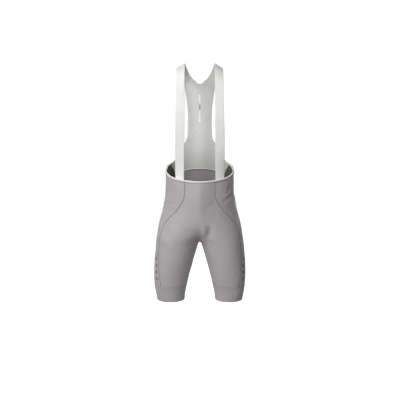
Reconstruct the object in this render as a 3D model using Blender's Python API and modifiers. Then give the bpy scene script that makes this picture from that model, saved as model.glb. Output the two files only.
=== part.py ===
"""Cycling bib shorts, filled out as worn with nobody in them. Metres, +Z up, the front faces -Y.

The origin lies midway between the two shoulder straps, on the line where they cross the shoulders.
Left and right are the wearer's, so left is +X. Every panel is cut from one worn shape: a closed
section at each height, one for each leg, whose two halves run into each other above the crotch.
"""

import math

import bpy


def table(columns, *rows):
    """One list for each named column. The first column is the one that the others are read at."""
    return dict(zip(columns.split(), zip(*rows)))


# Walls and seams
LYCRA_WALL = 0.0012
BAND_WALL = 0.0016
MESH_WALL = 0.0012
STRAP_WALL = 0.0012
BINDING_WALL = 0.001
SEAM_GAP = 0.0005

# Levels that pieces share
CHEST = -0.100
HIP_LINE = -0.500
CROTCH_TOP = -0.640
CROTCH = -0.698
THIGH = -0.745
BAND_TOP = -0.870
HEM = -0.934

# The worn shape: a section's squareness, and how widely the two legs melt together at the crotch
SQUARENESS = 2.15
CROTCH_BLEND = 0.010
SHOULDER_TOP = 0.0095
SHOULDER_SLOPE = 0.60
STRAP_INNER = 0.0575

BODY = table(
    "z      outer   inner    front    back",
    (-0.100, 0.165, -0.165, -0.112, 0.098),
    (-0.200, 0.157, -0.157, -0.121, 0.101),
    (-0.300, 0.143, -0.143, -0.114, 0.096),
    (-0.400, 0.1352, -0.1352, -0.099, 0.094),
    (-0.450, 0.1358, -0.1358, -0.098, 0.099),
    (-0.500, 0.1378, -0.1378, -0.100, 0.108),
    (-0.550, 0.1460, -0.1450, -0.101, 0.116),
    (-0.580, 0.1535, -0.1350, -0.101, 0.119),
    (-0.610, 0.1612, -0.1040, -0.101, 0.119),
    (-0.640, 0.1680, -0.0560, -0.100, 0.116),
    (-0.660, 0.1716, -0.0250, -0.099, 0.112),
    (-0.680, 0.1744, -0.0020, -0.098, 0.107),
    (-0.698, 0.1764, 0.0100, -0.096, 0.102),
    (-0.720, 0.1788, 0.0153, -0.094, 0.097),
    (-0.750, 0.1818, 0.0228, -0.091, 0.090),
    (-0.800, 0.1852, 0.0358, -0.084, 0.080),
    (-0.850, 0.1853, 0.0483, -0.075, 0.071),
    (-0.900, 0.1800, 0.0580, -0.066, 0.063),
    (-0.934, 0.1745, 0.0622, -0.061, 0.059),
)

# Where the side panel is sewn in, as a distance from the centre plane
FRONT_SEAM = table(
    "z      x",
    (-0.430, 0.0590),
    (-0.482, 0.0592),
    (-0.510, 0.0625),
    (-0.533, 0.0744),
    (-0.560, 0.0933),
    (-0.584, 0.1162),
    (-0.608, 0.1356),
    (-0.6385, 0.1498),
    (-0.675, 0.1586),
    (-0.711, 0.1619),
    (-0.788, 0.1638),
    (-0.831, 0.1600),
    (-0.870, 0.1556),
)
BACK_SEAM = table(
    "z      x",
    (-0.388, 0.1180),
    (-0.404, 0.1120),
    (-0.417, 0.1055),
    (-0.432, 0.1020),
    (-0.450, 0.1003),
    (-0.490, 0.1000),
    (-0.540, 0.1040),
    (-0.590, 0.1140),
    (-0.640, 0.1280),
    (-0.700, 0.1430),
    (-0.760, 0.1510),
    (-0.820, 0.1530),
    (-0.870, 0.1500),
)

# The free edge round the front of the waist, by the turn from the side: -90 is the centre front
WAIST_EDGE = table(
    "turn  z",
    (-90, -0.4418),
    (-76, -0.4404),
    (-63, -0.4377),
    (-48, -0.4325),
    (-35, -0.4262),
    (-23, -0.4180),
    (-8, -0.4118),
    (4, -0.4052),
    (14, -0.3965),
    (22, -0.3918),
    (31, -0.3880),
)

# The height at which the front seam meets that edge
FRONT_SEAM_TOP = -0.4377

# The mesh bib: its arched seam over the seat, its free edges and its shoulder ends
SEAT_ARCH = -0.415
BIB_EDGE = table(
    "z      outer",
    (-0.388, 0.1180),
    (-0.379, 0.1050),
    (-0.345, 0.0805),
    (-0.314, 0.0651),
    (-0.288, 0.0520),
    (-0.263, 0.0488),
    (-0.215, 0.0483),
    (-0.1625, 0.0502),
    (-0.130, 0.0545),
    (-0.100, 0.0593),
)
SHOULDER_END = table(
    "turn  inner   outer",
    (0.0, 0.0000, 0.0593),
    (11.9, 0.0000, 0.0620),
    (12.4, 0.0045, 0.0622),
    (13.4, 0.0082, 0.0625),
    (15.2, 0.0125, 0.0630),
    (17.2, 0.0162, 0.0638),
    (23.0, 0.0280, 0.0660),
    (33.0, 0.0398, 0.0700),
    (48.0, 0.0493, 0.0768),
    (66.0, 0.0552, 0.0840),
    (90.0, STRAP_INNER, 0.0898),
)
# A strap's edges, how far it lies inside the worn shape, and how flat it is pulled across its width
STRAP_SIDES = table(
    "z      inner   outer   inset   flat",
    (-0.475, 0.0619, 0.0940, 0.0060, 0.00),
    (-0.435, 0.0616, 0.0943, 0.0060, 0.00),
    (-0.395, 0.0609, 0.0950, 0.0042, 0.20),
    (-0.340, 0.0600, 0.0955, 0.0000, 0.60),
    (-0.280, 0.0590, 0.0946, 0.0000, 0.75),
    (-0.130, STRAP_INNER, 0.0905, 0.0000, 0.75),
    (-0.100, STRAP_INNER, 0.0898, 0.0000, 0.75),
)

# The binding stops this share of the side panel short of the mesh bib
BINDING_STOP = 0.012

# The folded edge's section: how far out from the panel's face, and how far above its edge
BINDING_FOLD = table(
    "out      up",
    (0.0013, -0.0056),
    (0.0013, 0.0004),
    (0.0006, 0.0013),
    (-0.0021, 0.0013),
    (-0.0028, 0.0004),
    (-0.0028, -0.0056),
)

# How finely the faceted walls are cut
FRONT_COLUMNS, SIDE_COLUMNS, BACK_COLUMNS = 10, 7, 9
BAND_COLUMNS, STRAP_COLUMNS = 26, 3
WAIST_ROWS, HIP_ROWS, CROTCH_ROWS, THIGH_ROWS, BAND_ROWS = 6, 6, 4, 6, 2
BIB_ROWS, STRAP_ROWS, SHOULDER_ROWS = 9, 12, 7
ARCH_ROW = WAIST_ROWS // 2

LYCRA_GREY = (0.36, 0.34, 0.345)
BAND_GREY = (0.34, 0.325, 0.33)
MESH_GREY = (0.56, 0.57, 0.53)
STRAP_WHITE = (0.83, 0.83, 0.80)
BINDING_WHITE = (0.90, 0.89, 0.89)


def read(columns, name, at):
    """A column's value on a smooth curve through the table's rows."""
    keys, values = next(iter(columns.values())), columns[name]
    if keys[0] > keys[-1]:
        keys, values = keys[::-1], values[::-1]
    at = min(max(at, keys[0]), keys[-1])
    above = next(i for i in range(1, len(keys)) if at <= keys[i])

    def slope(i):
        low, high = max(i - 1, 0), min(i + 1, len(keys) - 1)
        return (values[high] - values[low]) / (keys[high] - keys[low])

    span = keys[above] - keys[above - 1]
    t = (at - keys[above - 1]) / span
    return (
        values[above - 1] * (1 + 2 * t) * (1 - t) ** 2
        + slope(above - 1) * span * t * (1 - t) ** 2
        + values[above] * t * t * (3 - 2 * t)
        + slope(above) * span * t * t * (t - 1)
    )


def mix(first, last, share):
    return first + (last - first) * share


def even(columns):
    return [j / columns for j in range(columns + 1)]


def drawn_in(columns):
    """Shares of the way across a panel, closer together towards both of its seams."""
    return [mix(share, (1 - math.cos(math.pi * share)) / 2, 0.5) for share in even(columns)]


def bent(value, power):
    """value to this power with its sign kept, which turns an ellipse into a squarer section."""
    return math.copysign(abs(value) ** power, value)


def section(z):
    """The worn shape at this height: centre and half width across, middle and half depth."""
    outer, inner = read(BODY, "outer", z), read(BODY, "inner", z)
    front, back = read(BODY, "front", z), read(BODY, "back", z)
    return (outer + inner) / 2, (outer - inner) / 2, (front + back) / 2, (back - front) / 2


def body_point(turn, z):
    """A point on the left half. turn is 0 at the outer side, less round the front, more round the back."""
    centre, half, middle, depth = section(z)
    across = centre + half * bent(math.cos(turn), 2 / SQUARENESS)
    x = math.sqrt(max(across * across - CROTCH_BLEND * CROTCH_BLEND, 0))
    return x, middle + depth * bent(math.sin(turn), 2 / SQUARENESS), z


def turn_at(x, z):
    """The turn, front or back, where the section is this far from the centre plane."""
    centre, half, _, _ = section(z)
    share = (math.hypot(x, CROTCH_BLEND) - centre) / half
    return math.acos(bent(min(max(share, -1), 1), SQUARENESS / 2))


def seam_turn(seam, z):
    return turn_at(read(seam, "x", z), z)


def gap_turn(z):
    """Half a seam's gap, as a turn of the section."""
    return SEAM_GAP / 2 / section(z)[1]


def lower_rows():
    """Row heights under the hip line, closest at the crotch, where the sections change fastest."""
    rows = [mix(HIP_LINE, CROTCH_TOP, k / HIP_ROWS) for k in range(1, HIP_ROWS + 1)]
    rows += [mix(CROTCH, CROTCH_TOP, (1 - k / CROTCH_ROWS) ** 2) for k in range(1, CROTCH_ROWS + 1)]
    rows += [mix(CROTCH, THIGH, (k / CROTCH_ROWS) ** 2) for k in range(1, CROTCH_ROWS + 1)]
    rows += [
        mix(THIGH, BAND_TOP + SEAM_GAP / 2, k / THIGH_ROWS) for k in range(1, THIGH_ROWS + 1)
    ]
    return rows


def height(row, top):
    """A row's height in a column that starts at this top: rows level out at the hip line."""
    if row <= WAIST_ROWS:
        return mix(top, HIP_LINE, row / WAIST_ROWS)
    return lower_rows()[row - WAIST_ROWS - 1]


PANEL_ROWS = range(WAIST_ROWS + len(lower_rows()) + 1)


def front_point(row, share):
    """share runs from the centre front, or the inseam, to the front seam."""
    edge = mix(-math.pi / 2, -seam_turn(FRONT_SEAM, FRONT_SEAM_TOP), share)
    z = height(row, read(WAIST_EDGE, "z", math.degrees(edge)))
    turn = mix(-turn_at(0, z), -seam_turn(FRONT_SEAM, z) - gap_turn(z), share)
    x, y, z = body_point(turn, z)
    return x, min(y, section(z)[2] - SEAM_GAP / 2), z


def side_point(row, share):
    """share runs from the front seam, round the outer side, to the back seam."""
    first = -seam_turn(FRONT_SEAM, FRONT_SEAM_TOP)
    edge = mix(first, math.radians(WAIST_EDGE["turn"][-1]), share)
    z = height(row, read(WAIST_EDGE, "z", math.degrees(edge)))
    gap = gap_turn(z)
    turn = mix(-seam_turn(FRONT_SEAM, z) + gap, seam_turn(BACK_SEAM, z) - gap, share)
    return body_point(turn, z)


def arch_corner():
    """The height where the seat, the mesh bib and the side panel meet."""
    return height(ARCH_ROW, WAIST_EDGE["z"][-1])


def arch_height(share):
    """The seam over the seat, level at the centre back and falling to its corner."""
    return mix(SEAT_ARCH, arch_corner(), share**2)


def back_point(row, share):
    """share runs from the back seam to the centre back, or the inseam."""
    z = arch_height(1 - share) - SEAM_GAP / 2
    if row <= WAIST_ROWS:
        z = mix(z, HIP_LINE, (row - ARCH_ROW) / (WAIST_ROWS - ARCH_ROW))
    else:
        z = height(row, HIP_LINE)
    turn = mix(seam_turn(BACK_SEAM, z) + gap_turn(z), turn_at(0, z), share)
    x, y, z = body_point(turn, z)
    return x, max(y, section(z)[2] + SEAM_GAP / 2), z


def band_point(row, share):
    z = mix(BAND_TOP - SEAM_GAP / 2, HEM, row / BAND_ROWS)
    return body_point(mix(-math.pi, math.pi, share), z)


def over_shoulder(x, z, turn, side, inset=0.0, rests_at=None):
    """A point on the chest or back, side -1 or 1, carried over the shoulder by this turn."""
    _, y, _ = body_point(side * turn_at(x if rests_at is None else rests_at, z), z)
    y -= side * inset
    rise = SHOULDER_TOP - CHEST - SHOULDER_SLOPE * (x - STRAP_INNER)
    return x, y * math.cos(turn), z + rise * math.sin(turn)


def bib_point(row, share):
    """Rows climb from the arched seam to the side corner, up the back and over the shoulder."""
    if row <= ARCH_ROW:
        z = mix(arch_height(share) + SEAM_GAP / 2, WAIST_EDGE["z"][-1], row / ARCH_ROW)
        turn = mix(turn_at(0, z), seam_turn(BACK_SEAM, z) + gap_turn(z), share)
        return body_point(turn, z)
    row -= ARCH_ROW
    if row <= BIB_ROWS:
        z = mix(WAIST_EDGE["z"][-1], CHEST, row / BIB_ROWS)
        return over_shoulder(read(BIB_EDGE, "outer", z) * share, z, 0, 1)
    turn = SHOULDER_END["turn"][row - BIB_ROWS]
    turn = min(turn, 90 - math.degrees(SEAM_GAP / 2 / SHOULDER_END["outer"][-1]))
    inner, outer = read(SHOULDER_END, "inner", turn), read(SHOULDER_END, "outer", turn)
    return over_shoulder(mix(inner, outer, share), CHEST, math.radians(turn), 1)


def strap_point(row, share):
    """Rows fall from the shoulder to the end inside the waist; share runs outwards."""
    if row < SHOULDER_ROWS:
        turn = math.pi / 2 * (1 - row / SHOULDER_ROWS)
        turn = min(turn, math.pi / 2 - SEAM_GAP / 2 / STRAP_SIDES["outer"][-1])
        z = CHEST
    else:
        turn = 0
        z = mix(CHEST, STRAP_SIDES["z"][0], (row - SHOULDER_ROWS) / STRAP_ROWS)
    inner, outer = read(STRAP_SIDES, "inner", z), read(STRAP_SIDES, "outer", z)
    x = mix(inner, outer, share)
    rests_at = mix(x, (inner + outer) / 2, read(STRAP_SIDES, "flat", z))
    return over_shoulder(x, z, turn, -1, read(STRAP_SIDES, "inset", z), rests_at)


def binding_path():
    """The left half of the waist edge that the binding covers, centre front first."""
    path = [front_point(0, share) for share in drawn_in(FRONT_COLUMNS)[:-1]]
    path += [side_point(0, share) for share in drawn_in(SIDE_COLUMNS)[1:-1]]
    return path + [side_point(0, 1 - BINDING_STOP)]


def binding_point(row, fold):
    """fold counts the corners over the edge, from the outside in; rows run along the waist."""
    path = binding_path()
    x, y, z = path[row]
    before = path[row - 1] if row else (-path[1][0], path[1][1], path[1][2])
    after = path[min(row + 1, len(path) - 1)]
    run = (after[0] - before[0], after[1] - before[1])
    length = math.hypot(*run)
    out, up = BINDING_FOLD["out"][fold], BINDING_FOLD["up"][fold]
    return x + out * run[1] / length, y - out * run[0] / length, z + up


def cloth_material(name, colour, roughness):
    material = bpy.data.materials.new(name)
    material.use_nodes = True
    shader = material.node_tree.nodes["Principled BSDF"]
    shader.inputs["Base Color"].default_value = (*colour, 1)
    shader.inputs["Roughness"].default_value = roughness
    shader.inputs["Metallic"].default_value = 0
    return material


def sew(name, point, rows, shares, wall, material, side=1, closed=False, whole=False):
    """One panel: a grid of points on its outer face, mirrored if whole, with a wall inwards."""
    shares = shares[:-1] if closed else shares
    wide = len(shares)
    points = [point(row, share) for row in rows for share in shares]
    faces = []
    for i in range(len(rows) - 1):
        for j in range(wide if closed else wide - 1):
            a, b = i * wide + j, i * wide + (j + 1) % wide
            face = (a, a + wide, b + wide, b)
            faces.append(face if side > 0 else face[::-1])
    mesh = bpy.data.meshes.new(name)
    mesh.from_pydata([(side * x, y, z) for x, y, z in points], [], faces)
    mesh.materials.append(material)
    mesh.shade_smooth()
    panel = bpy.data.objects.new(name, mesh)
    garment.objects.link(panel)
    if whole:
        mirror = panel.modifiers.new("other half", "MIRROR")
        mirror.merge_threshold = 0.00001
    shell = panel.modifiers.new("cloth wall", "SOLIDIFY")
    shell.thickness = wall
    shell.offset = -1
    shell.use_even_offset = True
    return panel


for old in list(bpy.data.objects):
    bpy.data.objects.remove(old)
garment = bpy.data.collections.new("cycling bib shorts")
bpy.context.scene.collection.children.link(garment)

lycra = cloth_material("grey lycra", LYCRA_GREY, 0.6)
band_lycra = cloth_material("grey band lycra", BAND_GREY, 0.55)
bib_mesh = cloth_material("pale bib mesh", MESH_GREY, 0.8)
strap_web = cloth_material("off-white strap elastic", STRAP_WHITE, 0.7)
edge_tape = cloth_material("white edge tape", BINDING_WHITE, 0.6)

sew("front_panel", front_point, PANEL_ROWS, drawn_in(FRONT_COLUMNS), LYCRA_WALL, lycra, whole=True)
back_rows = PANEL_ROWS[ARCH_ROW:]
sew("back_panel", back_point, back_rows, drawn_in(BACK_COLUMNS), LYCRA_WALL, lycra, whole=True)
bib_rows = range(ARCH_ROW + BIB_ROWS + len(SHOULDER_END["turn"]))
sew("bib_back", bib_point, bib_rows, drawn_in(BACK_COLUMNS), MESH_WALL, bib_mesh, whole=True)
path_rows = range(len(binding_path()))
folds = range(len(BINDING_FOLD["out"]))
sew("waist_binding", binding_point, path_rows, folds, BINDING_WALL, edge_tape, whole=True)

side_shares, strap_shares, band_shares = drawn_in(SIDE_COLUMNS), even(STRAP_COLUMNS), even(BAND_COLUMNS)
band_rows, strap_rows = range(BAND_ROWS + 1), range(SHOULDER_ROWS + STRAP_ROWS + 1)
for hand, side in (("left", 1), ("right", -1)):
    sew("side_panel_" + hand, side_point, PANEL_ROWS, side_shares, LYCRA_WALL, lycra, side)
    sew("strap_" + hand, strap_point, strap_rows, strap_shares, STRAP_WALL, strap_web, side)
    band = "leg_band_" + hand
    sew(band, band_point, band_rows, band_shares, BAND_WALL, band_lycra, side, closed=True)
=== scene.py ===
import math

import bmesh
import bpy
import numpy as np
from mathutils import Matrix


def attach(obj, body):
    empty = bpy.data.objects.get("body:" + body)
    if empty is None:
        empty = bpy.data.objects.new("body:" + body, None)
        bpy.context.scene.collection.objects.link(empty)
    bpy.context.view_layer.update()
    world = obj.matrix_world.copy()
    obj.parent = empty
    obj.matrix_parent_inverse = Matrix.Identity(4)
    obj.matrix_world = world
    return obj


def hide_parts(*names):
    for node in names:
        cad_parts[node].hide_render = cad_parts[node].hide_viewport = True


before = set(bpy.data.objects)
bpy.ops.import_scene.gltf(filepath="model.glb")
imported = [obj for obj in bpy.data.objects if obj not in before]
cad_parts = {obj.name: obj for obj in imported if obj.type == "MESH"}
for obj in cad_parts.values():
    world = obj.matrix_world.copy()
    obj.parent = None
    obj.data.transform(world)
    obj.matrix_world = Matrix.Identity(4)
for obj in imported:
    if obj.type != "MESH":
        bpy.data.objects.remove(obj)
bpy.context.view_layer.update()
print("frame loaded:", len(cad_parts), "cloth pieces")


def table(columns, *rows):
    return dict(zip(columns.split(), np.array(rows, float).T))


# The worn shape, in metres: the wearer faces -Y and the wearer's left is +X
shape = {
    "squareness": 2.15,
    "crotchBlend": 0.010,
    "seamGap": 0.0005,
    "chest": -0.100,
    "hipLine": -0.500,
    "bandTop": -0.870,
    "hem": -0.934,
    "shoulderTop": 0.0095,
    "shoulderSlope": 0.60,
    "strapInner": 0.0575,
    "seatArch": -0.415,
    "frontSeamTop": -0.4377,
    "ripple": 0.0006,
}
body = table(
    "z      outer   inner    front    back",
    (-0.100, 0.165, -0.165, -0.112, 0.098),
    (-0.200, 0.157, -0.157, -0.121, 0.101),
    (-0.300, 0.143, -0.143, -0.114, 0.096),
    (-0.400, 0.1352, -0.1352, -0.099, 0.094),
    (-0.450, 0.1358, -0.1358, -0.098, 0.099),
    (-0.500, 0.1378, -0.1378, -0.100, 0.108),
    (-0.550, 0.1460, -0.1450, -0.101, 0.116),
    (-0.580, 0.1535, -0.1350, -0.101, 0.119),
    (-0.610, 0.1612, -0.1040, -0.101, 0.119),
    (-0.640, 0.1680, -0.0560, -0.100, 0.116),
    (-0.660, 0.1716, -0.0250, -0.099, 0.112),
    (-0.680, 0.1744, -0.0020, -0.098, 0.107),
    (-0.698, 0.1764, 0.0100, -0.096, 0.102),
    (-0.720, 0.1788, 0.0153, -0.094, 0.097),
    (-0.750, 0.1818, 0.0228, -0.091, 0.090),
    (-0.800, 0.1852, 0.0358, -0.084, 0.080),
    (-0.850, 0.1853, 0.0483, -0.075, 0.071),
    (-0.900, 0.1800, 0.0580, -0.066, 0.063),
    (-0.934, 0.1745, 0.0622, -0.061, 0.059),
)
# Where the side panel is sewn in, as a distance from the centre plane
frontSeam = table(
    "z      x",
    (-0.430, 0.0590),
    (-0.482, 0.0592),
    (-0.510, 0.0625),
    (-0.533, 0.0744),
    (-0.560, 0.0933),
    (-0.584, 0.1162),
    (-0.608, 0.1356),
    (-0.6385, 0.1498),
    (-0.675, 0.1586),
    (-0.711, 0.1619),
    (-0.788, 0.1638),
    (-0.831, 0.1600),
    (-0.870, 0.1556),
)
backSeam = table(
    "z      x",
    (-0.388, 0.1180),
    (-0.404, 0.1120),
    (-0.417, 0.1055),
    (-0.432, 0.1020),
    (-0.450, 0.1003),
    (-0.490, 0.1000),
    (-0.540, 0.1040),
    (-0.590, 0.1140),
    (-0.640, 0.1280),
    (-0.700, 0.1430),
    (-0.760, 0.1510),
    (-0.820, 0.1530),
    (-0.870, 0.1500),
)
# The free edge round the front of the waist, by the turn from the side: -90 is the centre front
waistEdge = table(
    "turn  z",
    (-90, -0.4418),
    (-76, -0.4404),
    (-63, -0.4377),
    (-48, -0.4325),
    (-35, -0.4262),
    (-23, -0.4180),
    (-8, -0.4118),
    (4, -0.4052),
    (14, -0.3965),
    (22, -0.3918),
    (31, -0.3880),
)


def read(columns, name, at):  # a smooth curve through a table's rows
    keys, values = next(iter(columns.values())), columns[name]
    if keys[0] > keys[-1]:
        keys, values = keys[::-1], values[::-1]
    rows = np.arange(len(keys))
    low, high = np.maximum(rows - 1, 0), np.minimum(rows + 1, len(keys) - 1)
    slopes = (values[high] - values[low]) / (keys[high] - keys[low])
    at = np.clip(at, keys[0], keys[-1])
    above = np.clip(np.searchsorted(keys, at), 1, len(keys) - 1)
    span = keys[above] - keys[above - 1]
    t = (at - keys[above - 1]) / span
    return (
        values[above - 1] * (1 + 2 * t) * (1 - t) ** 2
        + slopes[above - 1] * span * t * (1 - t) ** 2
        + values[above] * t * t * (3 - 2 * t)
        + slopes[above] * span * t * t * (t - 1)
    )


def mix(first, last, share):
    return first + (last - first) * share


def bent(value, power):
    return np.sign(value) * np.abs(value) ** power


def unit(vectors):
    return vectors / np.maximum(np.linalg.norm(vectors, axis=-1, keepdims=True), 1e-12)


def section(z):  # centre and half width across, middle and half depth
    outer, inner = read(body, "outer", z), read(body, "inner", z)
    front, back = read(body, "front", z), read(body, "back", z)
    return (outer + inner) / 2, (outer - inner) / 2, (front + back) / 2, (back - front) / 2


def bodyPoint(turn, z):  # on the left half: turn is 0 at the outer side, less in front, more behind
    centre, half, middle, depth = section(z)
    across = centre + half * bent(np.cos(turn), 2 / shape["squareness"])
    x = np.sqrt(np.maximum(across**2 - shape["crotchBlend"] ** 2, 0))
    y = middle + depth * bent(np.sin(turn), 2 / shape["squareness"])
    return np.stack(np.broadcast_arrays(x, y, z), axis=-1).astype(float)


def turnAt(x, z):
    centre, half, _, _ = section(z)
    share = (np.hypot(x, shape["crotchBlend"]) - centre) / half
    return np.arccos(bent(np.clip(share, -1, 1), shape["squareness"] / 2))


def seamTurn(seam, z):
    return turnAt(read(seam, "x", z), z)


def gapTurn(z):
    return shape["seamGap"] / 2 / section(z)[1]


# Creases listed one by one: each runs from one point to another, over the surface, with its ends faded.
# A positive depth is a trough and a negative one a ridge. side is 1 on the wearer's left.
creases = table(
    "side fromTurn fromZ toTurn toZ bow width depth",
    # under the waist tape and over the hip at the wearer's left
    (1, -58, -0.4455, -30, -0.4590, 0.0020, 0.0036, 0.0010),
    (1, -56, -0.4605, -34, -0.4700, 0.0010, 0.0042, 0.0009),
    (1, -30, -0.4520, -38, -0.5000, 0.0020, 0.0090, 0.0024),
    (1, -20, -0.5020, -52, -0.5270, 0.0030, 0.0070, 0.0021),
    (1, -24, -0.4890, -54, -0.5130, 0.0030, 0.0080, -0.0017),
    (1, -66, -0.5240, -86, -0.5620, 0.0040, 0.0120, 0.0010),
    (1, -4, -0.5250, -34, -0.5520, 0.0050, 0.0110, 0.0008),
    (1, 4, -0.4680, -26, -0.4780, 0.0030, 0.0085, 0.0010),
    (1, 8, -0.4900, -14, -0.5060, -0.0020, 0.0100, 0.0012),
    (1, -42, -0.4700, -60, -0.4880, -0.0020, 0.0070, 0.0008),
    # the same at the wearer's right, where it sits smoother
    (-1, -23, -0.4460, -64, -0.4510, 0.0020, 0.0036, 0.0008),
    (-1, -28, -0.4575, -62, -0.4605, -0.0010, 0.0040, -0.0007),
    (-1, -10, -0.5300, -66, -0.5480, 0.0060, 0.0100, 0.0008),
    (-1, -3, -0.5540, -57, -0.5700, 0.0040, 0.0120, 0.0006),
    # the rise, the edge of the pad and the fan of folds over the front of the thighs
    (-1, -62, -0.6000, -89, -0.6530, 0.0060, 0.0055, 0.0014),
    (1, -62, -0.6040, -88, -0.6550, 0.0060, 0.0055, 0.0008),
    (-1, -121, -0.6600, -86, -0.6300, 0.0040, 0.0075, 0.0016),
    (1, -135, -0.6800, -108, -0.6970, 0.0030, 0.0080, 0.0015),
    (1, -104, -0.6900, -60, -0.6640, 0.0060, 0.0110, 0.0004),
    (1, -112, -0.7060, -66, -0.7000, 0.0040, 0.0110, -0.0004),
    (-1, -106, -0.6940, -64, -0.6760, 0.0040, 0.0110, 0.0004),
    (-1, -112, -0.7120, -70, -0.7120, 0.0050, 0.0110, -0.0004),
    (1, -77, -0.8850, -70, -0.9310, 0.0000, 0.0050, 0.0015),
    # the small of the back and over the hips behind
    (1, 60, -0.4660, 97, -0.4800, 0.0030, 0.0080, 0.0014),
    (-1, 56, -0.4720, 90, -0.4930, -0.0020, 0.0090, 0.0015),
    (-1, 74, -0.5030, 112, -0.4960, 0.0030, 0.0100, -0.0010),
    (1, 24, -0.4950, 62, -0.5290, 0.0040, 0.0095, 0.0018),
    (-1, 18, -0.5080, 54, -0.5460, 0.0050, 0.0105, 0.0016),
    (1, 12, -0.5340, 46, -0.5620, -0.0030, 0.0120, -0.0011),
    # under the seat and behind the thighs
    (1, 152, -0.6740, 86, -0.6560, -0.0060, 0.0085, 0.0024),
    (-1, 150, -0.6780, 82, -0.6620, -0.0050, 0.0095, 0.0022),
    (1, 140, -0.6960, 78, -0.6860, -0.0040, 0.0100, 0.0014),
    (-1, 136, -0.7030, 92, -0.6940, -0.0030, 0.0090, 0.0016),
    (1, 120, -0.7420, 62, -0.7280, -0.0040, 0.0120, 0.0011),
    (-1, 112, -0.7560, 56, -0.7430, 0.0030, 0.0120, 0.0012),
    (1, 104, -0.8300, 52, -0.8400, 0.0020, 0.0100, 0.0008),
    (-1, 96, -0.8180, 60, -0.8290, 0.0020, 0.0090, 0.0008),
)


# Broad forms in the front, each a soft mound, or with roof at 1 two flat slopes that meet on a soft edge
softForms = table(
    "x      z       wide   tall   height  roof",
    (0.001, -0.490, 0.060, 0.095, 0.0115, 1),
    (0.001, -0.600, 0.022, 0.040, 0.0020, 0),
    (0.016, -0.640, 0.011, 0.024, 0.0028, 0),
    (0.037, -0.646, 0.013, 0.025, -0.0110, 0),
    (-0.052, -0.640, 0.022, 0.030, -0.0012, 0),
)


formEdges = {"ridge": 0.003, "foot": 0.1, "fade": 0.03}  # rounding on top and at the foot, fade behind


def formShift(points, row):  # only the front of the shorts takes these
    x, z, wide, tall, height, roof = row
    across = np.hypot(points[:, 0] - x, formEdges["ridge"]) / wide
    slope = np.clip(1 - across, 0, 1)
    foot = formEdges["foot"]
    slope = np.where(slope < foot, slope**2 / (2 * foot), slope - foot / 2)
    bump = np.where(roof > 0, slope, np.exp(-(across**2)))
    bump = bump * np.exp(-(((points[:, 2] - z) / tall) ** 2))
    return height * bump * np.clip(-points[:, 1] / formEdges["fade"], 0, 1)


creaseProfile = {"reach": 3, "rim": 0.7, "ends": 0.8}  # how far it acts, its raised rim, its faded ends


def creaseLine(side, fromTurn, fromZ, toTurn, toZ, bow, samples=13):
    t = np.linspace(0, 1, samples)
    turns = np.radians(mix(fromTurn, toTurn, t))
    line = bodyPoint(turns, mix(fromZ, toZ, t) + bow * np.sin(math.pi * t))
    return line * (side, 1, 1)


def creaseShift(points, row):  # how far one crease moves these points outwards
    side, fromTurn, fromZ, toTurn, toZ, bow, width, depth = row
    line = creaseLine(side, fromTurn, fromZ, toTurn, toZ, bow)
    shift = np.zeros(len(points))
    reach = creaseProfile["reach"] * width
    near = np.flatnonzero(
        ((points > line.min(0) - reach) & (points < line.max(0) + reach)).all(axis=1)
    )
    if not len(near):
        return shift
    best, along = np.full(len(near), 1e9), np.zeros(len(near))
    for i in range(len(line) - 1):
        run = line[i + 1] - line[i]
        t = np.clip((points[near] - line[i]) @ run / (run @ run), 0, 1)
        gap = np.linalg.norm(points[near] - line[i] - t[:, None] * run, axis=1)
        closer = gap < best
        best[closer], along[closer] = gap[closer], (i + t[closer]) / (len(line) - 1)
    q = best / width
    across = (1 - creaseProfile["rim"] * q * q) * np.exp(-q * q)
    shift[near] = -depth * across * np.sin(math.pi * along) ** creaseProfile["ends"]
    return shift


def ripple(points):  # the slight unevenness of stretched cloth
    x, y, z = points.T * 2 * math.pi
    waves = np.sin(x * 9.1 + z * 4.3 + 0.7) * np.sin(z * 7.7 - y * 5.2 + 2.1)
    waves += 0.6 * np.sin(z * 15.3 + x * 6.1) * np.sin(y * 12.7 + x * 10.9 + 1.3)
    return shape["ripple"] * waves


def outwards(points):  # the outward normals of a grid of points
    down, across = np.gradient(points, axis=0), np.gradient(points, axis=1)
    return unit(np.cross(down, across))


def relief(points):
    flat = points.reshape(-1, 3)
    shift = ripple(flat)
    for row in zip(*creases.values()):
        shift = shift + creaseShift(flat, row)
    for row in zip(*softForms.values()):
        shift = shift + formShift(flat, row)
    return shift.reshape(points.shape[:-1])


def settled(points, normals):  # the cloth as it sits, with its creases
    return points + normals * relief(points)[..., None]


# Making meshes


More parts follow.
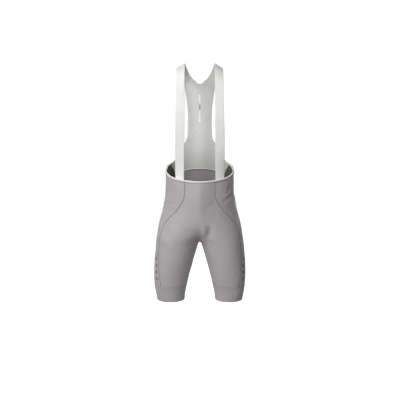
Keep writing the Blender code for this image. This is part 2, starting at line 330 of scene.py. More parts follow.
def gridMesh(name, grids, closed=False):  # grids: (points, uvs, side), joined where they touch
    verts, faces, uvs = [], [], []
    for points, uv, side in grids:
        deep, wide = points.shape[:2]
        start = sum(len(v) for v in verts)
        index = start + np.arange(deep * wide).reshape(deep, wide)
        if closed:
            index = np.concatenate([index, index[:, :1]], axis=1)
        a, b = index[:-1, :-1].ravel(), index[1:, :-1].ravel()
        c, d = index[1:, 1:].ravel(), index[:-1, 1:].ravel()
        quads = np.stack([a, b, c, d] if side > 0 else [d, c, b, a], axis=1)
        verts.append(points.reshape(-1, 3))
        uvs.append(uv.reshape(-1, 2))
        faces.append(quads)
    verts, faces, uvs = np.concatenate(verts), np.concatenate(faces), np.concatenate(uvs)
    mesh = bpy.data.meshes.new(name)
    mesh.from_pydata(verts.tolist(), [], faces.tolist())
    layer = mesh.uv_layers.new(name="cloth")
    layer.data.foreach_set("uv", uvs[faces.ravel()].astype(np.float32).ravel())
    if len(grids) > 1:
        weld = bmesh.new()
        weld.from_mesh(mesh)
        bmesh.ops.remove_doubles(weld, verts=weld.verts, dist=1e-5)
        weld.to_mesh(mesh)
        weld.free()
    mesh.shade_smooth()
    piece = bpy.data.objects.new(name, mesh)
    bpy.context.scene.collection.objects.link(piece)
    return piece


def applyAll(piece):
    bpy.ops.object.select_all(action="DESELECT")
    piece.select_set(True)
    bpy.context.view_layer.objects.active = piece
    for modifier in list(piece.modifiers):
        bpy.ops.object.modifier_apply(modifier=modifier.name)


def addWall(piece, thickness, inner=None):  # inner is the material of the wall's inner face
    wall = piece.modifiers.new("wall", "SOLIDIFY")
    if inner:
        piece.data.materials.append(inner)
        wall.material_offset = len(piece.data.materials) - 1
    wall.thickness = thickness
    wall.offset = -1
    applyAll(piece)


def lengths(points, axis):  # running length along a grid's rows or columns
    steps = np.linalg.norm(np.diff(points, axis=axis), axis=-1)
    start = np.zeros_like(np.take(steps, [0], axis=axis))
    return np.concatenate([start, np.cumsum(steps, axis=axis)], axis=axis)


def panelUvs(points):
    return np.stack([lengths(points, 1), -lengths(points, 0)], axis=-1)


def halves(point, rows, shares, joined=True, sides=(1, -1)):  # grids for the left and the right
    grids = []
    down, across = np.meshgrid(rows, shares, indexing="ij")
    right = point(down, across)
    normals = outwards(right)
    if joined:
        normals[right[..., 0] < 1e-6, 0] = 0
        normals = unit(normals)
    for side in sides:
        mirror = np.array((side, 1, 1))
        points = settled(right * mirror, normals * mirror)
        if joined:
            points[right[..., 0] < 1e-6, 0] = 0
        grids.append((points, panelUvs(right) * (side, 1), side))
    return grids


# Materials


def makeMaterial(name, colour, roughness, **sockets):
    material = bpy.data.materials.new(name)
    material.use_nodes = True
    shader = material.node_tree.nodes["Principled BSDF"]
    shader.inputs["Base Color"].default_value = (*colour, 1)
    shader.inputs["Roughness"].default_value = roughness
    for socket, value in sockets.items():
        shader.inputs[socket.replace("_", " ")].default_value = value
    return material, material.node_tree, shader


def addNode(tree, kind, links=(), **settings):
    node = tree.nodes.new("ShaderNode" + kind)
    for key, value in settings.items():
        setattr(node, key, value)
    for socket, source in links:
        if isinstance(source, bpy.types.NodeSocket):
            tree.links.new(source, node.inputs[socket])
        else:
            node.inputs[socket].default_value = source
    return node


def maths(tree, operation, first, second=0.0):
    return addNode(tree, "Math", [(0, first), (1, second)], operation=operation).outputs[0]


def newGroup(name, inputs, outputs):
    group = bpy.data.node_groups.new(name, "ShaderNodeTree")
    for title, kind, value in inputs:
        socket = group.interface.new_socket(title, in_out="INPUT", socket_type="NodeSocket" + kind)
        if value is not None:
            socket.default_value = value
    for title, kind in outputs:
        group.interface.new_socket(title, in_out="OUTPUT", socket_type="NodeSocket" + kind)
    entry = group.nodes.new("NodeGroupInput").outputs
    leave = group.nodes.new("NodeGroupOutput").inputs
    return group, entry, leave


knitLoops = {"slant": 1.4, "swing": 0.22, "middle": 0.7, "gapPower": 0.5}


def makeKnit():  # upright wales of looped stitches, on the cloth's own coordinates in metres
    group, entry, leave = newGroup(
        "knit",
        [("Cloth", "Vector", None), ("Wale", "Float", 0.001), ("Course", "Float", 0.001)],
        [("Height", "Float"), ("Gap", "Float")],
    )
    parts = addNode(group, "SeparateXYZ", [(0, entry["Cloth"])]).outputs
    column = maths(group, "DIVIDE", parts["X"], entry["Wale"])
    saw = maths(group, "PINGPONG", column, 0.5)  # 0 between two wales, 0.5 on top of one
    rise = maths(group, "SINE", maths(group, "MULTIPLY", saw, math.pi))
    row = maths(group, "DIVIDE", parts["Y"], entry["Course"])
    slant = maths(group, "ADD", row, maths(group, "MULTIPLY", saw, knitLoops["slant"]))
    loop = maths(group, "SINE", maths(group, "MULTIPLY", slant, 2 * math.pi))
    height = maths(group, "MULTIPLY_ADD", loop, knitLoops["swing"])
    height.node.inputs[2].default_value = knitLoops["middle"]
    group.links.new(maths(group, "MULTIPLY", height, rise), leave["Height"])
    gap = maths(group, "SUBTRACT", 1.0, maths(group, "POWER", rise, knitLoops["gapPower"]))
    group.links.new(gap, leave["Gap"])
    return group


def makeMarl():  # faint streaks and blotches in a dyed yarn, about 1 where it is even
    group, entry, leave = newGroup(
        "marl",
        [("Cloth", "Vector", None), ("Streaks", "Float", 0.05), ("Blotches", "Float", 0.04)],
        [("Shade", "Float")],
    )
    stretch = addNode(group, "Mapping", [(0, entry["Cloth"]), ("Scale", (900, 60, 1))])
    fine = addNode(group, "TexNoise", [("Vector", stretch.outputs[0]), ("Scale", 1.0)])
    broad = addNode(group, "TexNoise", [("Vector", entry["Cloth"]), ("Scale", 22.0), ("Detail", 3.0)])
    streak = maths(group, "MULTIPLY", maths(group, "SUBTRACT", fine.outputs[0], 0.5), entry["Streaks"])
    blotch = maths(group, "MULTIPLY", maths(group, "SUBTRACT", broad.outputs[0], 0.5), entry["Blotches"])
    shade = maths(group, "ADD", maths(group, "ADD", streak, blotch), 1.0)
    group.links.new(shade, leave["Shade"])
    return group


knit, marl = makeKnit(), makeMarl()


def useGroup(tree, group, **values):
    node = addNode(tree, "Group", node_tree=group)
    for socket, value in values.items():
        if isinstance(value, bpy.types.NodeSocket):
            tree.links.new(value, node.inputs[socket])
        else:
            node.inputs[socket].default_value = value
    return node.outputs


def clothUv(tree):
    return addNode(tree, "UVMap", uv_map="cloth").outputs[0]


def tint(tree, colour, shade):  # a colour made lighter or darker by a shade of about 1
    grey = addNode(tree, "CombineColor", [(i, shade) for i in range(3)]).outputs[0]
    blend = addNode(tree, "Mix", data_type="RGBA", blend_type="MULTIPLY")
    blend.inputs["Factor"].default_value = 1
    if isinstance(colour, bpy.types.NodeSocket):
        tree.links.new(colour, blend.inputs["A"])
    else:
        blend.inputs["A"].default_value = (*colour, 1)
    tree.links.new(grey, blend.inputs["B"])
    return next(s for s in blend.outputs if s.type == "RGBA")


def addBump(tree, shader, height, distance):
    bump = addNode(tree, "Bump", [("Height", height), ("Distance", distance), ("Strength", 1.0)])
    tree.links.new(bump.outputs[0], shader.inputs["Normal"])


def makeCloth(name, colour, roughness, wale, course, relief, gapDark, streaks=0.05, **sockets):
    material, tree, shader = makeMaterial(name, colour, roughness, **sockets)
    uv = clothUv(tree)
    loops = useGroup(tree, knit, Cloth=uv, Wale=wale, Course=course)
    shade = useGroup(tree, marl, Cloth=uv, Streaks=streaks)["Shade"]
    shade = maths(tree, "SUBTRACT", shade, maths(tree, "MULTIPLY", loops["Gap"], gapDark))
    tree.links.new(tint(tree, colour, shade), shader.inputs["Base Color"])
    addBump(tree, shader, loops["Height"], relief)
    return material, tree, shader


lycraLooks = {
    "colour": (0.448, 0.423, 0.430),
    "roughness": 0.47,
    "wale": 0.0011,
    "course": 0.0013,
    "relief": 0.00012,
    "gapDark": 0.06,
    "Sheen_Weight": 0.25,
    "Sheen_Roughness": 0.45,
    "Specular_IOR_Level": 0.45,
}
lycra, _, _ = makeCloth("grey lycra", **lycraLooks)
bandLycra, _, _ = makeCloth(
    "grey band lycra",
    **{**lycraLooks, "colour": (0.430, 0.406, 0.413), "wale": 0.0016, "course": 0.0008},
)
# Painted shade: a near-black lycra for the side panels' inner face, which lies in shade inside the shorts,
# and for the shadow strip under the seat seam's covered edge
shadeDarkLycra, _, _ = makeCloth(
    "dark reverse of the side lycra",
    **{**lycraLooks, "colour": (0.106, 0.100, 0.097), "wale": 0.0024, "course": 0.0018, "gapDark": 0.3},
)
lycraInside, _, _ = makeCloth(
    "inside of the grey lycra", **{**lycraLooks, "colour": (0.345, 0.324, 0.328), "gapDark": 0.12}
)
strapWeb, _, _ = makeCloth(
    "off-white strap elastic",
    colour=(0.87, 0.87, 0.85),
    roughness=0.75,
    wale=0.0016,
    course=0.0011,
    relief=0.00008,
    gapDark=0.05,
    Sheen_Weight=0.15,
    Specular_IOR_Level=0.2,
)
edgeTape, _, _ = makeCloth(
    "white edge tape",
    colour=(0.82, 0.81, 0.805),
    roughness=0.6,
    wale=0.0010,
    course=0.0010,
    relief=0.00012,
    gapDark=0.05,
    Sheen_Weight=0.15,
    Specular_IOR_Level=0.3,
)
bibMesh, meshTree, meshShader = makeCloth(
    "pale bib mesh",
    colour=(0.76, 0.765, 0.74),
    roughness=0.85,
    wale=0.0048,
    course=0.0022,
    relief=0.00022,
    gapDark=0.17,
    Specular_IOR_Level=0.15,
)
# The last value is how strongly painted shade darkens the lower mesh
meshContours = {"spacing": 0.0085, "sharpness": 3.0, "lighten": 0.065, "ground": 0.965, "meshShadeDepth": 0.22}


def addContourLines(tree, shader):  # soft pale lines where the contour attribute crosses each level, and painted shade that darkens the lower mesh
    level = addNode(tree, "Attribute", attribute_name="contour").outputs["Fac"]
    wave = maths(tree, "PINGPONG", maths(tree, "DIVIDE", level, meshContours["spacing"]), 0.5)
    line = maths(tree, "POWER", maths(tree, "MULTIPLY", wave, 2.0), meshContours["sharpness"])
    shade = maths(tree, "MULTIPLY", line, meshContours["lighten"])
    shade = maths(tree, "ADD", shade, meshContours["ground"])
    # Painted shade: the mesh is darkened downwards towards the seat
    meshShadeBelow = addNode(tree, "Attribute", attribute_name="meshShadeBelow").outputs["Fac"]
    shade = maths(tree, "SUBTRACT", shade, maths(tree, "MULTIPLY", meshShadeBelow, meshContours["meshShadeDepth"]))
    base = shader.inputs["Base Color"].links[0].from_socket
    tree.links.new(tint(tree, base, shade), shader.inputs["Base Color"])


addContourLines(meshTree, meshShader)
seamThread, _, _ = makeCloth(
    "grey seam thread",
    colour=(0.31, 0.292, 0.298),
    roughness=0.7,
    wale=0.0012,
    course=0.0016,
    relief=0.0002,
    gapDark=0.2,
    Specular_IOR_Level=0.25,
)
print("cloth materials made")


# The front, back and side panels

lycraPanels = {
    "wall": 0.0012,
    "step": 0.0026,
    "hipShare": 0.18,
    "length": 0.45,
    "halfWidth": 0.16,
    "sideWidth": 0.19,
}


def evenShares(length):  # from 0 to 1 in steps of about the panels' grid
    return np.linspace(0, 1, max(2, round(length / lycraPanels["step"])) + 1)


def heightAt(down, top):  # down runs from 0 at the top edge to 1 at the leg band's seam
    hip, share = shape["hipLine"], lycraPanels["hipShare"]
    low = mix(hip, shape["bandTop"] + shape["seamGap"] / 2, (down - share) / (1 - share))
    return np.where(down < share, mix(top, hip, down / share), low)


def frontPoint(down, share):  # share runs from the centre front, or the inseam, to the front seam
    edge = mix(-math.pi / 2, -seamTurn(frontSeam, shape["frontSeamTop"]), share)
    z = heightAt(down, read(waistEdge, "z", np.degrees(edge)))
    turn = mix(-turnAt(0, z), -seamTurn(frontSeam, z) - gapTurn(z), share)
    points = bodyPoint(turn, z)
    points[..., 1] = np.minimum(points[..., 1], section(z)[2] - shape["seamGap"] / 2)
    return points


def sidePoint(down, share):  # share runs from the front seam, round the outer side, to the back seam
    first = -seamTurn(frontSeam, shape["frontSeamTop"])
    edge = mix(first, math.radians(waistEdge["turn"][-1]), share)
    z = heightAt(down, read(waistEdge, "z", np.degrees(edge)))
    gap = gapTurn(z)
    return bodyPoint(mix(-seamTurn(frontSeam, z) + gap, seamTurn(backSeam, z) - gap, share), z)


def archCorner():  # the height where the seat, the mesh bib and the side panel meet
    return mix(waistEdge["z"][-1], shape["hipLine"], 0.5)


def archHeight(share):
    return mix(shape["seatArch"], archCorner(), share**2)


def backPoint(down, share):  # share runs from the back seam to the centre back, or the inseam
    top = archHeight(1 - share) - shape["seamGap"] / 2
    z = heightAt(down, top)
    points = bodyPoint(mix(seamTurn(backSeam, z) + gapTurn(z), turnAt(0, z), share), z)
    points[..., 1] = np.maximum(points[..., 1], section(z)[2] + shape["seamGap"] / 2)
    return points


downShares = evenShares(lycraPanels["length"])
halfShares = evenShares(lycraPanels["halfWidth"])
frontPanel = gridMesh("frontPanelCloth", halves(frontPoint, downShares, halfShares))
backPanel = gridMesh("backPanelCloth", halves(backPoint, downShares, halfShares))
clothPieces = [(frontPanel, "front_panel"), (backPanel, "back_panel")]
for hand, side in (("left", 1), ("right", -1)):
    sideShares = evenShares(lycraPanels["sideWidth"])
    grids = halves(sidePoint, downShares, sideShares, joined=False, sides=(side,))
    panel = gridMesh("sidePanelCloth." + hand, grids)
    clothPieces.append((panel, "side_panel_" + hand))
for panel, node in clothPieces:
    panel.data.materials.append(lycra)
    # The side panels' inner face is near-black as painted shade; the other panels take the inside lycra
    addWall(panel, lycraPanels["wall"], inner=shadeDarkLycra if node.startswith("side") else lycraInside)
    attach(panel, "root")
    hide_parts(node)
print("lycra panels made")


# The leg bands

legBands = {"wall": 0.0016, "rows": 28, "columns": 170}


def bandPoint(down, share):
    z = mix(shape["bandTop"] - shape["seamGap"] / 2, shape["hem"], down)
    return bodyPoint(mix(-math.pi, math.pi, share), z)


for hand, side in (("left", 1), ("right", -1)):
    rows, shares = np.linspace(0, 1, legBands["rows"]), np.linspace(0, 1, legBands["columns"])
    grids = halves(bandPoint, rows, shares, joined=False, sides=(side,))
    band = gridMesh("legBandCloth." + hand, [(p[:, :-1], uv[:, :-1], s) for p, uv, s in grids], closed=True)
    band.data.materials.append(bandLycra)
    addWall(band, legBands["wall"])
    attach(band, "root")
    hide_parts("leg_band_" + hand)
    clothPieces.append((band, "leg_band_" + hand))
print("leg bands made")


# The mesh bib

bibBack = {"wall": 0.0012, "lower": 0.040, "upper": 0.30, "shoulderRows": 71, "halfWidth": 0.100}
bibEdge = table(
    "z      outer",
    (-0.388, 0.1180),
    (-0.379, 0.1050),
    (-0.345, 0.0805),
    (-0.314, 0.0651),
    (-0.288, 0.0520),
    (-0.263, 0.0488),
    (-0.215, 0.0483),
    (-0.1625, 0.0502),
    (-0.130, 0.0545),
    (-0.100, 0.0593),
)
shoulderEnd = table(
    "turn  inner   outer",
    (0.0, 0.0000, 0.0593),
    (11.9, 0.0000, 0.0620),
    (12.4, 0.0045, 0.0622),
    (13.4, 0.0082, 0.0625),
    (15.2, 0.0125, 0.0630),
    (17.2, 0.0162, 0.0638),
    (23.0, 0.0280, 0.0660),
    (33.0, 0.0398, 0.0700),
    (48.0, 0.0493, 0.0768),
    (66.0, 0.0552, 0.0840),
    (90.0, shape["strapInner"], 0.0898),
)


def overShoulder(x, z, turn, side, inset=0.0, restsAt=None):  # chest or back, carried up and over
    y = bodyPoint(side * turnAt(x if restsAt is None else restsAt, z), z)[..., 1] - side * inset
    rise = shape["shoulderTop"] - shape["chest"] - shape["shoulderSlope"] * (x - shape["strapInner"])
    grid = np.broadcast_arrays(x, y * np.cos(turn), z + rise * np.sin(turn))
    return np.stack(grid, axis=-1).astype(float)


def bibLower(up, share):  # from the arched seam over the seat up to the side corner
    z = mix(archHeight(share) + shape["seamGap"] / 2, waistEdge["z"][-1], up)
    return bodyPoint(mix(turnAt(0, z), seamTurn(backSeam, z) + gapTurn(z), share), z)


def bibUpper(up, share):  # from the side corner up the back to the shoulder blades
    z = mix(waistEdge["z"][-1], shape["chest"], up)
    return overShoulder(read(bibEdge, "outer", z) * share, z, 0, 1)


def bibShoulder(turn, share):  # turn in degrees, over the shoulder to the strap
    turn = np.minimum(turn, 90 - math.degrees(shape["seamGap"] / 2 / shoulderEnd["outer"][-1]))
    inner = np.maximum(read(shoulderEnd, "inner", turn), 0)
    across = mix(inner, read(shoulderEnd, "outer", turn), share)
    return overShoulder(across, shape["chest"], np.radians(turn), 1)


def bibPoint(row, share):  # row counts the three stretches: 0 to 1, 1 to 2 and 2 to 3
    turns = np.interp(row - 2, np.linspace(0, 1, len(shoulderEnd["turn"])), shoulderEnd["turn"])
    lower, upper = bibLower(np.clip(row, 0, 1), share), bibUpper(np.clip(row - 1, 0, 1), share)
    top = bibShoulder(turns, share)
    row = row[..., None]
    return np.where(row < 1, lower, np.where(row < 2, upper, top))


contours = {
    "ringPlace": (0.0625, -0.420),
    "ringSize": (0.0385, 0.070),
    "ringPower": 2.6,
    "neckHeight": -0.050,
    "neckStretch": 5.0,
    "neckLevel": 0.140,
    "fade": (-0.330, -0.235),
    # the last entry gives the heights where the painted shade on the mesh begins and where it is full
    "meshShadeSpan": (-0.300, -0.420),
}


def addContours(piece):  # a height map whose level lines are the mesh's tone-on-tone contours, and the weight of the painted shade on the lower mesh
    mesh = piece.data
    points = np.empty(len(mesh.vertices) * 3)
    mesh.vertices.foreach_get("co", points)
    x, _, z = points.reshape(-1, 3).T
    ringX, ringZ = contours["ringPlace"]
    wide, tall = contours["ringSize"]
    power = contours["ringPower"]
    rings = np.abs((np.abs(x) - ringX) / wide) ** power + np.abs((z - ringZ) / tall) ** power
    rings = wide * rings ** (1 / power)
    necks = np.hypot(x, (z - contours["neckHeight"]) / contours["neckStretch"])
    low, high = contours["fade"]
    up = np.clip((z - low) / (high - low), 0, 1)
    level = mix(rings, contours["neckLevel"] - necks, up * up * (3 - 2 * up))
    # Painted shade: a weight that grows downwards over the lower mesh
    high, low = contours["meshShadeSpan"]
    down = np.clip((high - z) / (high - low), 0, 1)
    for name, values in (("contour", level), ("meshShadeBelow", down * down * (3 - 2 * down))):
        layer = mesh.attributes.new(name, "FLOAT", "POINT")
        layer.data.foreach_set("value", values.astype(np.float32))


bibRows = np.concatenate([
    evenShares(bibBack["lower"])[:-1],
    1 + evenShares(bibBack["upper"])[:-1],
    2 + np.linspace(0, 1, bibBack["shoulderRows"]),
])
bibShares = evenShares(bibBack["halfWidth"])
bib = gridMesh("bibBackCloth", [
    (points[::-1], uv[::-1], side) for points, uv, side in halves(bibPoint, bibRows, bibShares)
])
addContours(bib)
bib.data.materials.append(bibMesh)
addWall(bib, bibBack["wall"])
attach(bib, "root")
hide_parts("bib_back")
clothPieces.append((bib, "bib_back"))
print("mesh bib made")


# The shoulder straps

straps = {"wall": 0.0012, "columns": 16, "foldRows": 40, "hangRows": 130}
strapSides = table(
    "z      inner   outer   inset   flat",
    (-0.475, 0.0619, 0.0940, 0.0060, 0.00),
    (-0.435, 0.0616, 0.0943, 0.0060, 0.00),
    (-0.395, 0.0609, 0.0950, 0.0042, 0.20),
    (-0.340, 0.0600, 0.0955, 0.0000, 0.60),
    (-0.280, 0.0590, 0.0946, 0.0000, 0.75),
    (-0.130, shape["strapInner"], 0.0905, 0.0000, 0.75),
    (-0.100, shape["strapInner"], 0.0898, 0.0000, 0.75),
)


def strapPoint(row, share):  # row runs from 0 at the shoulder to 1 at the chest and 2 inside the waist
    turn = np.minimum(math.pi / 2 * (1 - row), math.pi / 2 - shape["seamGap"] / 2 / strapSides["outer"][-1])
    z = np.where(row < 1, shape["chest"], mix(shape["chest"], strapSides["z"][0], row - 1))
    inner, outer = read(strapSides, "inner", z), read(strapSides, "outer", z)
    x = mix(inner, outer, share)
    restsAt = mix(x, (inner + outer) / 2, read(strapSides, "flat", z))
    return overShoulder(x, z, np.maximum(turn, 0), -1, read(strapSides, "inset", z), restsAt)


strapRows = np.concatenate(
    [np.linspace(0, 1, straps["foldRows"])[:-1], np.linspace(1, 2, straps["hangRows"])]
)
for hand, side in (("left", 1), ("right", -1)):
    shares = np.linspace(0, 1, straps["columns"])
    grids = halves(strapPoint, strapRows, shares, joined=False, sides=(side,))
    strap = gridMesh("strapCloth." + hand, grids)
    strap.data.materials.append(strapWeb)
    addWall(strap, straps["wall"])
    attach(strap, "root")
    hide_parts("strap_" + hand)
    clothPieces.append((strap, "strap_" + hand))
print("straps made")


# The folded tape round the waist

waistTape = {
    "wall": 0.001,
    "frontLength": 0.07,
    "sideLength": 0.15,
    "stop": 0.012,
    "reach": 0.0056,
    "outer": 0.0013,
    "inner": -0.0028,
    "roundness": 0.7,
}


def tapePath():  # the whole waist edge, from the wearer's right to the left
    front = halves(frontPoint, downShares[:3], evenShares(waistTape["frontLength"]))
    shares = evenShares(waistTape["sideLength"]) * (1 - waistTape["stop"])
    sides = halves(sidePoint, downShares[:3], shares, joined=False)
    left = np.concatenate([front[0][0][0], sides[0][0][0][1:]])
    right = np.concatenate([front[1][0][0], sides[1][0][0][1:]])
    return np.concatenate([right[:0:-1], left])


def tapeFold(count=9):  # (out, up) from the outer lower edge, over the fold, to the inner lower edge
    outer, inner = waistTape["outer"], waistTape["inner"]
    centre, radius = (outer + inner) / 2, (outer - inner) / 2
    turn = np.linspace(0, math.pi, count)
    rise = waistTape["roundness"] * radius * np.sin(turn)
    over = np.stack([centre + radius * np.cos(turn), rise], axis=1)
    return np.concatenate([[(outer, -waistTape["reach"])], over, [(inner, -waistTape["reach"])]])


path, fold = tapePath(), tapeFold()
run = np.gradient(path, axis=0) * (1, 1, 0)
out = unit(np.cross(run, (0, 0, 1)))
tapePoints = path[:, None] + out[:, None] * fold[None, :, :1] + np.array((0, 0, 1)) * fold[None, :, 1:]
tape = gridMesh("waistTapeCloth", [(tapePoints, panelUvs(tapePoints), -1)])
tape.data.materials.append(edgeTape)
addWall(tape, waistTape["wall"])
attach(tape, "root")
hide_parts("waist_binding")
clothPieces.append((tape, "waist_binding"))
print("waist tape made")


# Seams, stitches and prints

seams = {"width": 0.0036, "height": 0.00045, "wall": 0.0003, "sink": 0.0001, "clear": 0.0001}
lineCounts = {"side": 200, "round": 240, "inseam": 120, "arch": 60}  # how finely each seam's line is drawn
bandSeam = {"width": 0.0026, "clear": 0.001}
seatTape = {  # the covered edge inside the seat seam, and a dark strip of painted shadow below it: material, rise and width
    "Pale": (edgeTape, 0.0020, 0.0034),
    # painted shadow: a thin dark line under the pale covered edge
    "Dark": (shadeDarkLycra, -0.0016, 0.0026),
}
stitches = {"length": 0.0026, "pitch": 0.0034, "thickness": 0.00055, "sides": 5, "rings": 4}
stitchRows = {"fromEdge": 0.0004, "lift": 0.0003, "underBand": 0.006, "overHem": 0.013, "plainLift": 0.0001}


def surfaceAt(turn, z, side):  # settled points of the worn shape and the way out from them
    step = 1e-3
    turn, z = np.broadcast_arrays(turn, z)
    around = bodyPoint(turn + step, z) - bodyPoint(turn - step, z)
    down = bodyPoint(turn, z - step) - bodyPoint(turn, z + step)
    mirror = np.array((side, 1, 1))
    points, normals = bodyPoint(turn, z) * mirror, unit(np.cross(down, around)) * mirror
    return settled(points, normals), normals


def alongPath(points, pitch):  # rows of values at an even pitch along a line; x, y, z come first
    run = lengths(points[:, :3], 0)
    places = np.arange(pitch / 2, run[-1], pitch)
    return np.stack([np.interp(places, run, points[:, i]) for i in range(points.shape[1])], axis=1)


def seamStrip(name, points, normals, material, width=None):
    width = width or seams["width"]
    side = unit(np.cross(np.gradient(points, axis=0), normals))
    across = np.linspace(-1, 1, 7)
    lift = seams["height"] * np.sqrt(np.maximum(1 - across**2, 0)) - seams["sink"]
    grid = points[:, None] + side[:, None] * across[:, None] * width / 2 + normals[:, None] * lift[:, None]
    uv = np.stack([
        np.broadcast_to(lengths(points, 0)[:, None], grid.shape[:2]),
        np.broadcast_to(across * width / 2, grid.shape[:2]),
    ], axis=-1)
    strip = gridMesh(name, [(grid, uv, 1)])
    strip.data.materials.append(material)
    addWall(strip, seams["wall"])
    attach(strip, "root")
    return strip


def makeStitch():  # one stitch, lying along X
    bpy.ops.object.select_all(action="DESELECT")
    bpy.ops.mesh.primitive_uv_sphere_add(segments=stitches["sides"], ring_count=stitches["rings"], radius=0.5)
    grain = bpy.context.object
    bpy.ops.object.mode_set(mode="EDIT")
    bpy.ops.mesh.select_all(action="SELECT")
    bpy.ops.transform.rotate(value=math.pi / 2, orient_axis="Y", center_override=(0, 0, 0))
    size = (stitches["length"], stitches["thickness"], stitches["thickness"])
    bpy.ops.transform.resize(value=size, center_override=(0, 0, 0))
    bpy.ops.object.mode_set(mode="OBJECT")
    verts = np.array([v.co for v in grain.data.vertices])
    faces = [list(f.vertices) for f in grain.data.polygons]
    bpy.data.objects.remove(grain)
    return verts, faces


stitchVerts, stitchFaces = makeStitch()


def sewRows(name, lines, material, pitch=None):  # lines: (points, normals, offset across, lift)
    verts, faces = [], []
    for points, normals, offset, lift in lines:
        side = unit(np.cross(np.gradient(points, axis=0), normals))
        places = alongPath(
            np.concatenate([points + side * offset + normals * lift, normals], axis=1),
            pitch or stitches["pitch"],
        )
        centre, up = places[:, :3], unit(places[:, 3:])
        ahead = unit(np.gradient(centre, axis=0))
        aside = unit(np.cross(up, ahead))
        up = np.cross(ahead, aside)
        for i in range(len(centre)):
            start = len(verts)
            turned = stitchVerts @ np.stack([ahead[i], aside[i], up[i]])
            verts.extend((centre[i] + turned).tolist())
            faces.extend([[start + v for v in face] for face in stitchFaces])
    mesh = bpy.data.meshes.new(name)
    mesh.from_pydata(verts, [], faces)
    mesh.shade_smooth()
    piece = bpy.data.objects.new(name, mesh)
    bpy.context.scene.collection.objects.link(piece)
    piece.data.materials.append(material)
    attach(piece, "root")
    return piece


greyThread, _, _ = makeMaterial("grey sewing thread", (0.30, 0.283, 0.289), 0.6)
paleThread, _, _ = makeMaterial("pale sewing thread", (0.72, 0.72, 0.70), 0.6)


def seamLevels(top):  # from the top of a side seam down to the leg band
    return np.linspace(top, shape["bandTop"] + bandSeam["clear"], lineCounts["side"])


def twoRows(points, normals):
    edge, lift = seams["width"] / 2 - stitchRows["fromEdge"], stitchRows["lift"]
    return [(points, normals, edge, lift), (points, normals, -edge, lift)]


def bothSides(turn, z):  # one line from the wearer's right to the left, through the centre
    left, right = (surfaceAt(turn, z, side) for side in (1, -1))
    return [np.concatenate([there[:0:-1], here]) for here, there in zip(left, right)]


for hand, side in (("left", 1), ("right", -1)):
    runs = {}
    z = seamLevels(shape["frontSeamTop"] - 0.0045)
    runs["frontSeam"] = surfaceAt(-seamTurn(frontSeam, z), z, side)
    z = seamLevels(waistEdge["z"][-1] - 0.002)
    runs["backSeam"] = surfaceAt(seamTurn(backSeam, z), z, side)
    turn = np.linspace(-math.pi, math.pi, lineCounts["round"])
    runs["bandSeam"] = surfaceAt(turn, shape["bandTop"], side)
    for name, (points, normals) in runs.items():
        thread, width = seamThread, seams["width"]
        if name == "bandSeam":
            thread, width = bandLycra, bandSeam["width"]
        seamStrip(name + "." + hand, points, normals, thread, width)
        sewRows(name + "Stitches." + hand, twoRows(points, normals), greyThread)
    rounds = {
        "bandTopStitches": shape["bandTop"] - stitchRows["underBand"],
        "hemStitches": shape["hem"] + stitchRows["overHem"],
    }
    for name, level in rounds.items():
        points, normals = surfaceAt(turn, level, side)
        row = (points, normals, 0, stitchRows["plainLift"])
        sewRows(name + "." + hand, [row], greyThread)

crotchLevel = -0.6982
inseamDrop = shape["bandTop"] + bandSeam["clear"] - crotchLevel
inseamShares = np.linspace(0, 1, lineCounts["inseam"]) ** 2  # closest together at the crotch
points, normals = bothSides(math.pi, crotchLevel + inseamDrop * inseamShares)
seamStrip("inseam", points, normals, seamThread)
sewRows("inseamStitches", twoRows(points, normals), greyThread)

share = np.linspace(0, 1, lineCounts["arch"])
z = archHeight(share)
turns = mix(turnAt(0, z), seamTurn(backSeam, z), share)
points, normals = bothSides(turns, z)
normals[:, 0] = np.where(np.abs(points[:, 0]) < 1e-6, 0, normals[:, 0])
seamStrip("seatSeam", points, normals, seamThread)
sewRows("seatSeamStitches", twoRows(points, normals), greyThread)
inside = points - normals * (lycraPanels["wall"] + seams["clear"])
# The Dark strip is painted shadow under the pale covered edge
for name, (material, rise, width) in seatTape.items():
    seamStrip("seatSeam" + name, inside + (0, 0, rise), -normals, material, width)
print("seams sewn")

# A row of short stitches holds the waist tape down
tapeStitches = {"fromEdge": 0.0012, "pitch": 0.0032}
waistNormals = np.cross(np.gradient(path, axis=0) * (1, 1, 0), (0, 0, 1))
waistNormals = unit(waistNormals)
drop = waistTape["reach"] - tapeStitches["fromEdge"]
below = path - np.array((0, 0, drop)) + waistNormals * waistTape["outer"]
tapeRow = (below, waistNormals, 0, 0)
sewRows("waistTapeStitches", [tapeRow], paleThread, pitch=tapeStitches["pitch"])

# Rows across each strap, in degrees over the shoulder
lapRows = {
    "turns": (86, 80, 61, 58),
    "ends": (0.04, 0.96),
    "points": 20,
    "step": 0.01,
    "lift": 0.0002,
    "pitch": 0.0028,
}
for hand, side in (("left", 1), ("right", -1)):
    lines = []
    for turn in lapRows["turns"]:
        share = np.linspace(*lapRows["ends"], lapRows["points"])
        row = np.full(lapRows["points"], 1 - turn / 90)
        points = strapPoint(row, share) * (side, 1, 1)
        step = strapPoint(row + lapRows["step"], share) * (side, 1, 1) - points
        normals = unit(np.cross(step, np.gradient(points, axis=0))) * side
        lines.append((points, normals, 0, lapRows["lift"]))
    sewRows("shoulderLapStitches." + hand, lines, paleThread, lapRows["pitch"])
print("tape and shoulders stitched")

